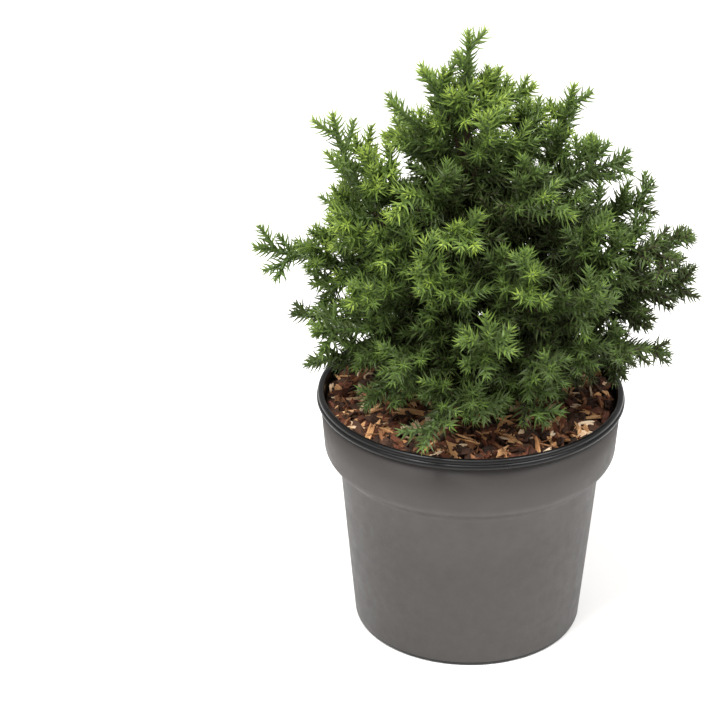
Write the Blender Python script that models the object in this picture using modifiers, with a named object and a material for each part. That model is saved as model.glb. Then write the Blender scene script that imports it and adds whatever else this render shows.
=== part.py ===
"""A young dwarf Japanese cedar in its nursery pot, in metres, +Z up.

The origin is the centre of the pot's flat underside. +X is to the right and -Y to the front.
The pot is full of growing medium under a layer of bark mulch, and the trunk stands on that.
Limbs leave the trunk all round: a long one is a bare tapering bough that ends where its foliage
begins, and a short one is foliage from the trunk outwards. Each mass of foliage is one stem with
side shoots, all of them slim three-sided cores that needles stand out of, fused into one solid.
"""

import math
import random
from typing import NamedTuple

import bmesh
import bpy
import numpy as np
from mathutils import Quaternion, Vector, noise

MM = 0.001
UP = Vector((0, 0, 1))

# Pieces that touch keep this gap.
GAP = 0.3 * MM

# The pot: a moulded container with a deep collar under a rolled lip.
POT_HEIGHT = 154.5 * MM
BASE_RADIUS = 69.8 * MM
BASE_CORNER = 2.5 * MM
BODY_TOP_RADIUS = 79.2 * MM
BODY_TOP_HEIGHT = 106 * MM
COLLAR_BOTTOM_RADIUS = 88.6 * MM
COLLAR_BOTTOM_HEIGHT = 120 * MM
COLLAR_TOP_RADIUS = 90.8 * MM
COLLAR_TOP_HEIGHT = 147.5 * MM
LIP_RADIUS = 93.2 * MM
LIP_ROUND = 2.0 * MM
LIP_INSET = 1.2 * MM
WALL = 2.4 * MM
POT_SIDES = 32

# What fills the pot.
MEDIUM_HEIGHT = 138 * MM
MULCH_CENTRE_HEIGHT = 149 * MM
MULCH_EDGE_HEIGHT = 146 * MM
MULCH_FLAT_RADIUS = 16 * MM
MULCH_RINGS = 3
MULCH_ROUGHNESS = 2.4 * MM
MULCH_GRAIN = 14 * MM

# The trunk: a short tapering stem that runs up through the crown to the leader.
TRUNK_FOOT = MULCH_CENTRE_HEIGHT + GAP
TRUNK_TOP = 305 * MM
TRUNK_RADIUS = 7.0 * MM
TRUNK_TOP_RADIUS = 2.0 * MM
TRUNK_LEAN = -4.5 * MM
TRUNK_SWAY = 2.5 * MM
TRUNK_SIDES = 10
TRUNK_STATION = 15 * MM
FLARE_RADIUS = 4.5 * MM
FLARE_HEIGHT = 9 * MM
FLARE_LOBES = 4
FLARE_LOBE_SHARE = 0.16

# Boughs, from the trunk to where foliage begins.
BOUGH_RADIUS = 2.5 * MM
BOUGH_END_RADIUS = 1.7 * MM
BOUGH_SHARE = 0.31
BOUGH_SIDES = 6
BOUGH_STATION = 11 * MM
ROOT_DEPTH = 0.5

# Stems and side shoots. Near the trunk a stem is bare.
STEM_RADIUS = 1.6 * MM
SHOOT_RADIUS = 1.1 * MM
TIP_RADIUS = 0.5 * MM
CORE_SIDES = 3
CORE_TWIST = math.radians(44)
SEGMENT = 10 * MM

# Needles, one from the middle of each side of a segment.
NEEDLE_REACH = 8.2 * MM
NEEDLE_LEAN = 5.5 * MM
LAST_NEEDLES = 0.66
SPRAY_RADIUS = 8.2 * MM

# The growth rule: side shoots turn about their stem by the golden angle, longest low down.
SEED = 41
GOLDEN_ANGLE = math.radians(137.5)
SHOOT_SPACING = 10.4 * MM
SHOOT_LENGTH = 42 * MM
SHOOT_SHARE = 0.42
SHOOT_SHORTEN = 0.64
SHOOT_VARIES = 0.12
SHOOT_ANGLE = math.radians(54)
SHOOT_TURNS_IN = 0.45
SHOOT_LIFTS = 0.30
FIRST_SHOOT = 0.16
LAST_SHOOT = 0.86
TRIES = 5
TRY_TURN = math.radians(50)
TRY_SHORTEN = 0.90

# How finely a path is measured, and how close together the balls are that it takes room with.
PATH_STEPS = 24
BALL_SPACING = 3.5 * MM

# Where a limb's elbow lies: its share of the way out, its share of the climb, and a lift.
HABITS = {
    "upright": (0.80, 0.26, 0),
    "spreading": (0.50, 0.62, 0),
    "arching": (0.36, 0.70, 0),
    "weeping": (0.55, 0.50, 20 * MM),
}


class Limb(NamedTuple):
    """A limb's root on the trunk and its tip, with heights and reach in millimetres."""

    name: str
    root_height: float
    root_bearing: float
    tip_bearing: float
    reach: float
    tip_height: float
    habit: str
    has_bough: bool


LIMBS = [
    Limb("top_left", 294, 176, 178, 32, 357, "arching", False),
    Limb("top_right", 284, 30, 35, 27, 339, "arching", False),
    Limb("front_crown", 272, 290, 285, 34, 330, "arching", False),
    Limb("upper_left", 266, 185, 191, 51, 341, "arching", False),
    Limb("back_crown", 262, 95, 95, 44, 327, "arching", False),
    Limb("front_upper_left", 253, 238, 232, 62, 301, "arching", False),
    Limb("back_upper_left", 252, 125, 126, 72, 304, "arching", False),
    Limb("front_upper_right", 249, 312, 316, 64, 298, "arching", False),
    Limb("left_arch", 246, 158, 166, 73, 309, "upright", False),
    Limb("back_upper_right", 244, 58, 52, 72, 315, "arching", False),
    Limb("right_upper", 240, 345, 352, 90, 310, "arching", True),
    Limb("front_high", 238, 272, 268, 66, 286, "arching", False),
    Limb("right_tall", 232, 25, 13, 58, 345, "upright", True),
    Limb("left_tall", 226, 200, 190, 83, 336, "upright", True),
    Limb("back_mid", 228, 92, 90, 104, 267, "spreading", True),
    Limb("right_arm_high", 222, 2, 5, 105, 276, "spreading", True),
    Limb("front_mid", 220, 255, 252, 82, 260, "spreading", False),
    Limb("back_left", 217, 140, 140, 112, 246, "spreading", True),
    Limb("front_mid_right", 214, 293, 294, 84, 256, "spreading", False),
    Limb("back_right", 211, 42, 42, 114, 243, "spreading", True),
    Limb("right_arm", 208, 346, 352, 127, 264, "spreading", True),
    Limb("front_left", 208, 222, 221, 94, 246, "spreading", True),
    Limb("left_reach", 204, 178, 176, 131, 241, "arching", True),
    Limb("front_right", 199, 318, 320, 98, 238, "spreading", True),
    Limb("front_low", 195, 275, 275, 88, 217, "spreading", False),
    Limb("back_low", 194, 90, 92, 116, 212, "spreading", True),
    Limb("front_left_low", 192, 205, 207, 103, 212, "spreading", False),
    Limb("right_reach", 190, 0, 359, 130, 230, "spreading", True),
    Limb("front_left_mid", 186, 242, 240, 88, 208, "spreading", False),
    Limb("front_right_mid", 184, 300, 303, 90, 203, "spreading", False),
    Limb("left_low", 182, 172, 176, 109, 198, "spreading", True),
    Limb("right_mid", 181, 20, 8, 127, 212, "spreading", False),
    Limb("front_right_low", 179, 330, 332, 106, 205, "spreading", False),
    Limb("back_right_low", 178, 50, 52, 112, 188, "weeping", False),
    Limb("back_left_low", 177, 135, 136, 112, 190, "weeping", False),
    Limb("right_low", 172, 352, 352, 119, 187, "weeping", True),
    Limb("skirt_left", 172, 224, 224, 86, 170, "weeping", False),
    Limb("skirt_front", 168, 262, 256, 112, 170, "weeping", False),
    Limb("left_skirt", 166, 188, 187, 100, 173, "weeping", False),
    Limb("skirt_right", 166, 300, 300, 88, 170, "weeping", False),
]
LEADER = Limb("leader", 305, 134, 134, 7, 380, "arching", False)

# Each surface's colour and roughness.
SURFACES = {
    "pot_plastic": ((0.060, 0.060, 0.064, 1), 0.45),
    "growing_medium": ((0.035, 0.022, 0.014, 1), 0.95),
    "bark_mulch": ((0.270, 0.120, 0.050, 1), 0.85),
    "bark": ((0.115, 0.062, 0.036, 1), 0.85),
    "needles": ((0.045, 0.130, 0.022, 1), 0.50),
}


def surface(name):
    """The material of this name, made once."""
    found = bpy.data.materials.get(name)
    if found:
        return found
    made = bpy.data.materials.new(name)
    made.use_nodes = True
    shader = made.node_tree.nodes["Principled BSDF"]
    colour, roughness = SURFACES[name]
    shader.inputs["Base Color"].default_value = colour
    shader.inputs["Roughness"].default_value = roughness
    shader.inputs["Metallic"].default_value = 0
    return made


def new_collection(name):
    """A collection of this name in the scene."""
    made = bpy.data.collections.new(name)
    bpy.context.scene.collection.children.link(made)
    return made


def new_object(name, mesh, collection, material):
    """An object of this mesh in the collection."""
    mesh.materials.clear()
    mesh.materials.append(surface(material))
    made = bpy.data.objects.new(name, mesh)
    collection.objects.link(made)
    return made


def mesh_from(name, bm):
    """A triangulated mesh of this working mesh, faces out."""
    bmesh.ops.recalc_face_normals(bm, faces=bm.faces)
    bmesh.ops.triangulate(bm, faces=bm.faces)
    mesh = bpy.data.meshes.new(name)
    bm.to_mesh(mesh)
    bm.free()
    return mesh


def apply_modifiers(thing):
    """Give the object the mesh that its modifiers make, in their place."""
    evaluated = thing.evaluated_get(bpy.context.evaluated_depsgraph_get())
    mesh = bpy.data.meshes.new_from_object(evaluated)
    thing.modifiers.clear()
    thing.data = mesh


# Turned pieces: the pot and what fills it.


def turn(name, profile, collection, material):
    """A solid turned about Z from (radius, height) points, its outer side top to bottom."""
    bm = bmesh.new()
    points = [bm.verts.new((radius, 0, height)) for radius, height in profile]
    for start, end in zip(points, points[1:]):
        bm.edges.new((start, end))
    mesh = bpy.data.meshes.new(name)
    bm.to_mesh(mesh)
    bm.free()
    thing = new_object(name, mesh, collection, material)
    screw = thing.modifiers.new("turn", "SCREW")
    screw.axis = "Z"
    screw.steps = POT_SIDES
    screw.render_steps = POT_SIDES
    screw.use_merge_vertices = True
    screw.merge_threshold = 0.01 * MM
    return thing


def arc(centre, radius, start, end, count):
    """Points along an arc in a profile, with angles in degrees up from the outward side."""
    angles = [math.radians(start + (end - start) * i / (count - 1)) for i in range(count)]
    return [(centre[0] + radius * math.cos(a), centre[1] + radius * math.sin(a)) for a in angles]


def pot_inside():
    """The pot's inner face from the middle of its floor up to the lip."""
    return [
        (0, WALL),
        (BASE_RADIUS - WALL, WALL),
        (BODY_TOP_RADIUS - WALL, BODY_TOP_HEIGHT + WALL),
        (COLLAR_BOTTOM_RADIUS - WALL, COLLAR_BOTTOM_HEIGHT + WALL),
        (COLLAR_TOP_RADIUS - WALL, COLLAR_TOP_HEIGHT),
    ]


def inner_radius(height):
    """The radius of the pot's inner face at this height."""
    radii, heights = zip(*pot_inside()[1:])
    return float(np.interp(height, heights, radii))


def make_pot(collection):
    """The pot: a rolled lip, a tapering collar, its rounded step and the body."""
    lip_middle = POT_HEIGHT - LIP_ROUND
    step = COLLAR_BOTTOM_RADIUS - BODY_TOP_RADIUS
    outside = arc((LIP_RADIUS - LIP_ROUND, lip_middle), LIP_ROUND, 150, 0, 4)
    outside += [
        (LIP_RADIUS, COLLAR_TOP_HEIGHT + LIP_INSET),
        (COLLAR_TOP_RADIUS, COLLAR_TOP_HEIGHT),
    ]
    outside += arc((BODY_TOP_RADIUS, COLLAR_BOTTOM_HEIGHT), step, 0, -60, 3)
    outside += [
        (BODY_TOP_RADIUS, BODY_TOP_HEIGHT),
        (BASE_RADIUS, BASE_CORNER),
        (BASE_RADIUS - BASE_CORNER, 0),
        (0, 0),
    ]
    return turn("pot", pot_inside() + outside, collection, "pot_plastic")


def make_medium(collection):
    """The growing medium, a plug that fits the pot."""
    sides = [(r - GAP, z + GAP) for r, z in pot_inside()[1:-1]]
    profile = [(0, MEDIUM_HEIGHT), (inner_radius(MEDIUM_HEIGHT) - GAP, MEDIUM_HEIGHT)]
    profile += sides[::-1]
    profile.append((0, WALL + GAP))
    return turn("growing_medium", profile, collection, "growing_medium")


def make_mulch(collection):
    """The bark mulch: a rough layer, flat under the trunk and lower at the pot's wall."""
    bottom = MEDIUM_HEIGHT + GAP
    edge = inner_radius(bottom) - GAP
    profile = [(0, MULCH_CENTRE_HEIGHT)]
    for i in range(MULCH_RINGS + 1):
        share = i / MULCH_RINGS
        radius = MULCH_FLAT_RADIUS + (edge - MULCH_FLAT_RADIUS) * share
        height = MULCH_CENTRE_HEIGHT + (MULCH_EDGE_HEIGHT - MULCH_CENTRE_HEIGHT) * share**2
        profile.append((radius, height))
    profile += [(edge, bottom), (0, bottom)]
    mulch = turn("bark_mulch", profile, collection, "bark_mulch")
    apply_modifiers(mulch)
    for vertex in mulch.data.vertices:
        from_axis = math.hypot(vertex.co.x, vertex.co.y)
        if vertex.co.z > bottom + MM and from_axis > MULCH_FLAT_RADIUS + MM:
            vertex.co.z += MULCH_ROUGHNESS * noise.noise(vertex.co / MULCH_GRAIN)
    return mulch


# Limbs: paths, and tubes lofted along them.


class Path:
    """A quadratic curve from a root over an elbow to a tip, read by distance along it."""

    def __init__(self, root, elbow, tip):
        self.root, self.elbow, self.tip = root, elbow, tip
        self.shares = np.linspace(0, 1, PATH_STEPS + 1)
        places = np.array([self.place(share) for share in self.shares])
        lengths = np.linalg.norm(np.diff(places, axis=0), axis=1)
        self.distances = np.concatenate(([0], np.cumsum(lengths)))
        self.length = float(self.distances[-1])

    def place(self, share):
        """The point at this share of the curve."""
        first = self.root.lerp(self.elbow, share)
        return first.lerp(self.elbow.lerp(self.tip, share), share)

    def at(self, distance):
        """The point at this distance and the way the path heads there."""
        share = float(np.interp(distance, self.distances, self.shares))
        ahead = self.elbow.lerp(self.tip, share) - self.root.lerp(self.elbow, share)
        return self.place(share), ahead.normalized()

    def rings(self, begin, end, spacing, radius, end_radius):
        """Even stations from one distance to another, as (centre, heading, radius)."""
        count = max(1, round((end - begin) / spacing))
        stations = []
        for i in range(count + 1):
            centre, heading = self.at(begin + (end - begin) * i / count)
            stations.append((centre, heading, radius + (end_radius - radius) * i / count))
        return stations

    def balls(self, begin, end):
        """Points close together along part of the path."""
        count = max(1, math.ceil((end - begin) / BALL_SPACING))
        return [self.at(begin + (end - begin) * i / count)[0] for i in range(count + 1)]


def loft(rings, sides, twist=0):
    """A closed tube through the rings, and the faces round each of its segments."""
    bm = bmesh.new()
    bmesh.ops.create_circle(bm, cap_ends=True, segments=sides, radius=1)
    cap = bm.faces[:][0]
    turn_to = UP.rotation_difference(rings[0][1])
    segments = []
    for i, (centre, heading, radius) in enumerate(rings):
        if i:
            turn_to = rings[i - 1][1].rotation_difference(heading) @ turn_to
            cap = bmesh.ops.extrude_discrete_faces(bm, faces=[cap])["faces"][0]
            segments.append([face for edge in cap.edges for face in edge.link_faces if face != cap])
        for k, vertex in enumerate(cap.verts):
            angle = twist * i + math.tau * k / sides
            spoke = Vector((math.cos(angle), math.sin(angle), 0)) * radius
            vertex.co = centre + turn_to @ spoke
    bmesh.ops.holes_fill(bm, edges=[edge for edge in bm.edges if edge.is_boundary])
    return bm, segments


def trunk_point(height):
    """The trunk's axis at this height: a slight lean with one soft bend."""
    share = (height - TRUNK_FOOT) / (TRUNK_TOP - TRUNK_FOOT)
    return Vector((TRUNK_LEAN * share, TRUNK_SWAY * math.sin(math.pi * share), height))


def trunk_radius(height):
    """The trunk's radius: an even taper on top of the root flare."""
    share = (height - TRUNK_FOOT) / (TRUNK_TOP - TRUNK_FOOT)
    flare = FLARE_RADIUS * math.exp(-(height - TRUNK_FOOT) / FLARE_HEIGHT)
    return TRUNK_RADIUS + (TRUNK_TOP_RADIUS - TRUNK_RADIUS) * share + flare


def make_trunk(name, collection, grow=0):
    """The trunk, its flare in lobes over the main roots, or the same shape a little larger."""
    count = round((TRUNK_TOP - TRUNK_FOOT) / TRUNK_STATION)
    heights = [TRUNK_FOOT + (TRUNK_TOP - TRUNK_FOOT) * i / count for i in range(count + 1)]
    heights.insert(1, TRUNK_FOOT + FLARE_HEIGHT / 2)
    bm, _ = loft([(trunk_point(z), UP, trunk_radius(z) + grow) for z in heights], TRUNK_SIDES)
    for vertex in bm.verts:
        centre = trunk_point(vertex.co.z)
        spoke = vertex.co - centre
        fade = math.exp(-(vertex.co.z - TRUNK_FOOT) / FLARE_HEIGHT)
        lobe = math.cos(FLARE_LOBES * math.atan2(spoke.y, spoke.x))
        vertex.co = centre + spoke * (1 + FLARE_LOBE_SHARE * fade * lobe)
    mesh = mesh_from(name, bm)
    mesh.shade_smooth()
    return new_object(name, mesh, collection, "bark")


def outward(bearing):
    """The level direction of a bearing in degrees."""
    return Vector((math.cos(math.radians(bearing)), math.sin(math.radians(bearing)), 0))


def limb_path(limb):
    """A limb's path, from inside the trunk over its elbow to its tip."""
    axis = trunk_point(limb.root_height * MM)
    root = axis + outward(limb.root_bearing) * ROOT_DEPTH * trunk_radius(axis.z)
    tip = outward(limb.tip_bearing) * limb.reach * MM + UP * limb.tip_height * MM
    share_out, share_up, lift = HABITS[limb.habit]
    elbow = axis + outward(limb.root_bearing) * share_out * limb.reach * MM
    elbow.z = root.z + (tip.z - root.z) * share_up + lift
    return Path(root, elbow, tip)


def leader_path():
    """The leader's path, up from just clear of the trunk's top."""
    root = trunk_point(TRUNK_TOP) + UP * GAP
    tip = outward(LEADER.tip_bearing) * LEADER.reach * MM + UP * LEADER.tip_height * MM
    return Path(root, root + UP * (tip.z - root.z) / 2, tip)


def cut_by(thing, cutter):
    """Cut the object where the cutter is, and keep the cut mesh."""
    cut = thing.modifiers.new("seat", "BOOLEAN")
    cut.operation = "DIFFERENCE"
    cut.object = cutter
    apply_modifiers(thing)


def make_bough(limb, path, end, collection, seat):
    """A bare tapering bough, its root cut to sit round the trunk."""
    name = "bough_" + limb.name
    bm, _ = loft(path.rings(0, end, BOUGH_STATION, BOUGH_RADIUS, BOUGH_END_RADIUS), BOUGH_SIDES)
    mesh = mesh_from(name, bm)
    mesh.shade_smooth()
    cut_by(new_object(name, mesh, collection, "bark"), seat)


# Foliage: shoots with needles, grown into the space that is free.


class Space:
    """The room that limbs and shoots have taken, as balls along them with their owners."""

    def __init__(self):
        self.centres, self.radii, self.owners = [], [], []

    def take(self, owner, points, radius):
        for point in points:
            self.centres.append(tuple(point))
            self.radii.append(radius)
            self.owners.append(owner)

    def is_free(self, owner, points, radius):
        """Whether balls here stay clear of the pot, the mulch and every other owner's balls."""
        if not all(clears_pot(point, radius) for point in points):
            return False
        others = np.array(self.owners) != owner
        centres = np.array(self.centres)[others]
        reach = np.array(self.radii)[others] + radius + GAP
        return all(np.all(np.linalg.norm(centres - np.array(p), axis=1) > reach) for p in points)


def clears_pot(point, radius):
    """Whether a ball here is above the mulch and the lip, or outside the pot."""
    from_axis = math.hypot(point.x, point.y)
    if from_axis - radius > LIP_RADIUS + GAP:
        return True
    if from_axis + radius > COLLAR_TOP_RADIUS - WALL:
        return point.z - radius > POT_HEIGHT + GAP
    return point.z - radius > MULCH_CENTRE_HEIGHT + MULCH_ROUGHNESS


def add_needles(bm, sides, centre, heading, size):
    """Raise a needle from the middle of each side of a segment, leaning to the shoot's tip."""
    for side in sides:
        apex = bmesh.ops.poke(bm, faces=[side])["verts"][0]
        spoke = apex.co - centre
        spoke -= heading * spoke.dot(heading)
        needle = spoke.normalized() * NEEDLE_REACH + heading * NEEDLE_LEAN
        apex.co = centre + needle * size


def make_shoot(name, rings, needled, collection):
    """A three-sided core with needles on the segments of these numbers."""
    bm, segments = loft(rings, CORE_SIDES, CORE_TWIST)
    for i, sides in enumerate(segments):
        if i in needled:
            start, end = rings[i], rings[i + 1]
            size = LAST_NEEDLES if i == len(segments) - 1 else 1
            middle = (start[0] + end[0]) / 2
            add_needles(bm, sides, middle, (start[1] + end[1]).normalized(), size)
    return new_object(name, mesh_from(name, bm), collection, "needles")


def side_shoot_path(stem, place, turn_angle, length):
    """A side shoot's path: out from the stem at an angle, then in towards its heading and up."""
    root, heading = stem.at(place)
    across = heading.orthogonal().normalized()
    across.rotate(Quaternion(heading, turn_angle))
    start = heading * math.cos(SHOOT_ANGLE) + across * math.sin(SHOOT_ANGLE)
    end = (start + heading * SHOOT_TURNS_IN + UP * SHOOT_LIFTS).normalized()
    elbow = root + start * (length / 2)
    return Path(root, elbow, elbow + end * (length / 2))


def needled_segments(limb, stem, rings, space):
    """The stem's segments with room for needles, which they take. The first one stays bare."""
    needled = set()
    begin = stem.length - stem.foliage
    spacing = stem.foliage / (len(rings) - 1)
    for i in range(1, len(rings) - 1):
        balls = stem.balls(begin + spacing * i, begin + spacing * (i + 1))
        if space.is_free(limb.name, balls, SPRAY_RADIUS):
            space.take(limb.name, balls, SPRAY_RADIUS)
            needled.add(i)
    return needled


def grow_side_shoots(limb, stem, space, rng):
    """The side shoots that find room, each tried at a few turns and a little shorter each time."""
    begin = stem.length - stem.foliage
    count = max(2, round((LAST_SHOOT - FIRST_SHOOT) * stem.foliage / SHOOT_SPACING))
    longest = min(SHOOT_LENGTH, stem.foliage * SHOOT_SHARE)
    spin = rng.uniform(0, math.tau)
    grown = []
    for k in range(count):
        share = FIRST_SHOOT + (LAST_SHOOT - FIRST_SHOOT) * k / (count - 1)
        size = longest * (1 - SHOOT_SHORTEN * share)
        size *= rng.uniform(1 - SHOOT_VARIES, 1 + SHOOT_VARIES)
        for attempt in range(TRIES):
            turn_angle = spin + k * GOLDEN_ANGLE + attempt * TRY_TURN
            tried = size * TRY_SHORTEN**attempt
            path = side_shoot_path(stem, begin + stem.foliage * share, turn_angle, tried)
            balls = path.balls(SEGMENT, path.length)
            if space.is_free(limb.name, balls, SPRAY_RADIUS):
                space.take(limb.name, balls, SPRAY_RADIUS)
                grown.append(path)
                break
    return grown


def fuse(mass, shoots):
    """Join a collection of shoots to their stem in one union, and remove the collection."""
    join = mass.modifiers.new("fuse", "BOOLEAN")
    join.operation = "UNION"
    join.operand_type = "COLLECTION"
    join.collection = shoots
    join.solver = "EXACT"
    apply_modifiers(mass)
    for shoot in list(shoots.objects):
        bpy.data.objects.remove(shoot)
    bpy.data.collections.remove(shoots)


def connected(faces):
    """The faces in groups that hang together."""
    left = set(faces)
    groups = []
    while left:
        group, waiting = [], [left.pop()]
        while waiting:
            face = waiting.pop()
            group.append(face)
            beside = {other for edge in face.edges for other in edge.link_faces} & left
            left -= beside
            waiting.extend(beside)
        groups.append(group)
    return groups


def keep_one_body(mesh):
    """Keep the largest closed body of a fused mesh: a scrap or a sealed hollow is dropped."""
    bm = bmesh.new()
    bm.from_mesh(mesh)
    bmesh.ops.triangulate(bm, faces=bm.faces)
    bmesh.ops.dissolve_degenerate(bm, dist=0.001 * MM, edges=bm.edges)
    for group in sorted(connected(bm.faces), key=len)[:-1]:
        bmesh.ops.delete(bm, geom=group, context="FACES")
    bm.to_mesh(mesh)
    bm.free()


def make_mass(limb, rings, needled, side_paths, collection, seat):
    """One mass of foliage, fused into one solid and cut to sit round the trunk if it meets it."""
    mass = make_shoot("foliage_" + limb.name, rings, needled, collection)
    shoots = new_collection("shoots")
    for path in side_paths:
        side_rings = path.rings(0, path.length, SEGMENT, SHOOT_RADIUS, TIP_RADIUS)
        make_shoot("shoot", side_rings, range(1, len(side_rings)), shoots)
    fuse(mass, shoots)
    if limb is not LEADER and not limb.has_bough:
        cut_by(mass, seat)
    keep_one_body(mass.data)


def make_plant(collection, guides):
    """The trunk, then every bough and stem, then the side shoots in the room that is left."""
    make_trunk("trunk", collection)
    seat = make_trunk("trunk_seat", guides, grow=GAP)
    seat.hide_render = True
    seat.display_type = "WIRE"
    space = Space()
    for height in np.arange(TRUNK_FOOT, TRUNK_TOP, BALL_SPACING):
        space.take("trunk", [trunk_point(height)], trunk_radius(height))

    limbs = [LEADER, *LIMBS]
    stems = [leader_path()] + [limb_path(limb) for limb in LIMBS]
    for limb, stem in zip(limbs, stems):
        stem.foliage = stem.length
        if limb.has_bough:
            bough = stem.length * BOUGH_SHARE
            make_bough(limb, stem, bough, collection, seat)
            stem.foliage -= bough + GAP
        space.take(limb.name, stem.balls(0, stem.length), BOUGH_RADIUS)

    grown = []
    for limb, stem in zip(limbs, stems):
        begin = stem.length - stem.foliage
        rings = stem.rings(begin, stem.length, SEGMENT, STEM_RADIUS, TIP_RADIUS)
        grown.append((rings, needled_segments(limb, stem, rings, space)))

    for index, (limb, stem, (rings, needled)) in enumerate(zip(limbs, stems, grown)):
        side_paths = grow_side_shoots(limb, stem, space, random.Random(SEED + index))
        make_mass(limb, rings, needled, side_paths, collection, seat)


def main():
    for thing in list(bpy.data.objects):
        bpy.data.objects.remove(thing)
    plant = new_collection("potted_cryptomeria")
    guides = new_collection("guides")
    make_pot(plant)
    make_medium(plant)
    make_mulch(plant)
    make_plant(plant, guides)


main()
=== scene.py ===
"""A young Japanese cedar in its nursery pot, dressed over its solids, in metres, +Z up.

The pot and its label come first, then what fills it, the trunk with its boughs, and the shoots
with their needles, in the order in which the plant was potted and grew. The studio comes last.
"""

import math
import random
from typing import NamedTuple

import bmesh
import bpy
import numpy as np
from mathutils import Matrix, Quaternion, Vector, noise


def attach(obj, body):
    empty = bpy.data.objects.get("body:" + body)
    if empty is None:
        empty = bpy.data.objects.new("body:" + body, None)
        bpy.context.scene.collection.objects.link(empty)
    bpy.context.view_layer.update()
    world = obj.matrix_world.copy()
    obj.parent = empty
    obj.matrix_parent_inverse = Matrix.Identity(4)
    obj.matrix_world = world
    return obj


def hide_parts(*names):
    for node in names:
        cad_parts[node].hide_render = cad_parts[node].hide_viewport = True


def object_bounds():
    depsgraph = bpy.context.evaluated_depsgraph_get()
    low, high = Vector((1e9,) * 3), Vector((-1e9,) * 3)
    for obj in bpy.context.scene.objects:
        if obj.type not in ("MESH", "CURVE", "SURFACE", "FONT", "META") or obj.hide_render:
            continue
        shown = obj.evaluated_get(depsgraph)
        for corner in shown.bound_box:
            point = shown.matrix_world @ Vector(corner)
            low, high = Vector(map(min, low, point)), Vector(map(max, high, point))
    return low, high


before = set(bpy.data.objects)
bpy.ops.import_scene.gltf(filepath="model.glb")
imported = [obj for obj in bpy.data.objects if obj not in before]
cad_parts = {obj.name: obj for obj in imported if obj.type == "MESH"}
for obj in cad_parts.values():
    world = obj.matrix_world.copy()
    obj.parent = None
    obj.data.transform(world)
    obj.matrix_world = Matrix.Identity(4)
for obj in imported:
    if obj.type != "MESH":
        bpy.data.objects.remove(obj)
solids_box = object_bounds()


# The camera stands in front of the table and looks down at the pot through a long lens. Its
# place in metres and its tilt in radians are what the pot's rings and the plant's tips show.
MM = 0.001
PICTURE_SIDE = 720
FOCAL_PIXELS = 2667.9
SENSOR = 36
CAMERA_PLACE = Vector((0, -1.43551, 0.8933))
CAMERA_PITCH = 0.4655
CAMERA_YAW = -0.0466
CAMERA_ROLL = -0.002

camera_data = bpy.data.cameras.new("camera")
camera_data.sensor_width = SENSOR
camera_data.lens = FOCAL_PIXELS / PICTURE_SIDE * SENSOR
camera = bpy.data.objects.new("camera", camera_data)
bpy.context.scene.collection.objects.link(camera)
bpy.context.scene.camera = camera
level = Vector((math.sin(CAMERA_YAW), math.cos(CAMERA_YAW), 0))
ahead = level * math.cos(CAMERA_PITCH) - Vector((0, 0, 1)) * math.sin(CAMERA_PITCH)
rightward = ahead.cross(Vector((0, 0, 1))).normalized()
rightward.rotate(Quaternion(-ahead, CAMERA_ROLL))
upward = rightward.cross(ahead)
camera.matrix_world = Matrix((rightward, upward, -ahead)).transposed().to_4x4()
camera.location = CAMERA_PLACE


# The pot is one injection moulding of black polypropylene: a tapering body, a deep collar over a
# rounded step, and a lip of two rolled beads that makes the rim stiff. It is full to near its rim.
POT_HEIGHT = 154.5 * MM
BASE_RADIUS = 69.8 * MM
BASE_CORNER = 2.5 * MM
BODY_TOP_RADIUS = 79.2 * MM
BODY_TOP_HEIGHT = 106 * MM
COLLAR_BOTTOM_RADIUS = 88.6 * MM
COLLAR_BOTTOM_HEIGHT = 120 * MM
COLLAR_TOP_RADIUS = 90.8 * MM
COLLAR_TOP_HEIGHT = 147.5 * MM
LIP_RADIUS = 93.2 * MM
WALL = 2.4 * MM
LOWER_BEAD = (91.5 * MM, 149.7 * MM, 1.7 * MM)
BEAD_GROOVE = (91.7 * MM, 151.2 * MM)
UPPER_BEAD = (90.6 * MM, 152.6 * MM, 1.9 * MM)
TURNING_STEPS = 144


def linear(code):
    """An sRGB hex colour as linear red, green, blue and alpha."""
    parts = [int(code[i : i + 2], 16) / 255 for i in (1, 3, 5)]
    return (*[p / 12.92 if p <= 0.04045 else ((p + 0.055) / 1.055) ** 2.4 for p in parts], 1)


def add_node(material, kind, inputs=(), **settings):
    """Add a node: an input given as another node's output is linked, and any other is set."""
    made = material.node_tree.nodes.new(kind)
    for name, value in settings.items():
        setattr(made, name, value)
    for name, value in dict(inputs).items():
        if isinstance(value, bpy.types.NodeSocket):
            material.node_tree.links.new(value, made.inputs[name])
        else:
            made.inputs[name].default_value = value
    return made


def new_material(name, base, roughness, ior=1.5):
    """A material of this name, and the output with the object's coordinates."""
    made = bpy.data.materials.new(name)
    made.use_nodes = True
    shader = made.node_tree.nodes["Principled BSDF"]
    shader.inputs["Base Color"].default_value = linear(base)
    shader.inputs["Roughness"].default_value = roughness
    shader.inputs["IOR"].default_value = ior
    return made, add_node(made, "ShaderNodeTexCoord").outputs["Object"]


def add_noise(material, place, size, **more):
    """Noise with features of this size at each place, as an output from 0 to 1."""
    inputs = {"Vector": place, "Scale": 1 / size, **more}
    return add_node(material, "ShaderNodeTexNoise", inputs).outputs["Fac"]


def rescaled(material, output, ends, new_ends=(0, 1)):
    """An output carried over from one range of values to another."""
    inputs = {"Value": output, "From Min": ends[0], "From Max": ends[1]}
    inputs |= {"To Min": new_ends[0], "To Max": new_ends[1]}
    return add_node(material, "ShaderNodeMapRange", inputs).outputs["Result"]


def drive(material, name, output):
    """Let an output set this input of a material's shader."""
    shader = material.node_tree.nodes["Principled BSDF"]
    material.node_tree.links.new(output, shader.inputs[name])


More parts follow.
